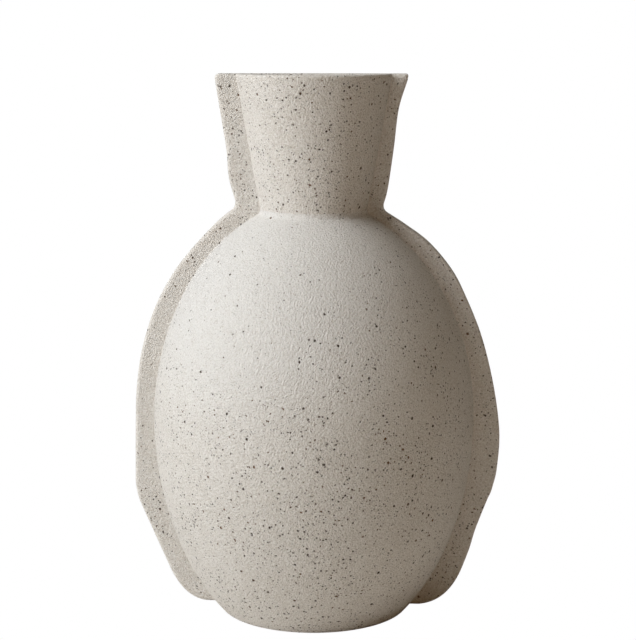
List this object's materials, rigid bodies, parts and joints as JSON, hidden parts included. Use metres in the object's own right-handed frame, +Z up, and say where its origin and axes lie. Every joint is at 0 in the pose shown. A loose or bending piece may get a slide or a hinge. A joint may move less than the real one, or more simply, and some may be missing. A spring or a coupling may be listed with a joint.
{
  "type": "stoneware vase",
  "caption": "Flat-backed stoneware vase: half-round egg body and flared neck on a flat slab whose edges form two wings; open mouth.",
  "frame": {"origin": "on the foot plane, on the axis of the half-round body, where that axis lies in the back slab's front face", "axes": "+Z up to the rim, X across the wings, -Y towards the rounded front, +Y out of the flat back"},
  "size_m": [0.165, 0.0795, 0.24],
  "materials": {
    "speckled_stoneware": "matt sandy off-white stoneware with dark iron speckles, fine dry grain",
    "bare_stoneware": "unglazed fired clay, matt, slightly darker and rougher, few speckles"
  },
  "bodies": {
    "root": {"back_slab": "speckled_stoneware", "body_shell": "speckled_stoneware", "neck_shell": "speckled_stoneware", "base_slab": "bare_stoneware", "base_seam_coil": "bare_stoneware", "left_body_seam_coil": "bare_stoneware", "right_body_seam_coil": "bare_stoneware", "left_neck_seam_coil": "bare_stoneware", "right_neck_seam_coil": "bare_stoneware"}
  },
  "joints": []
}
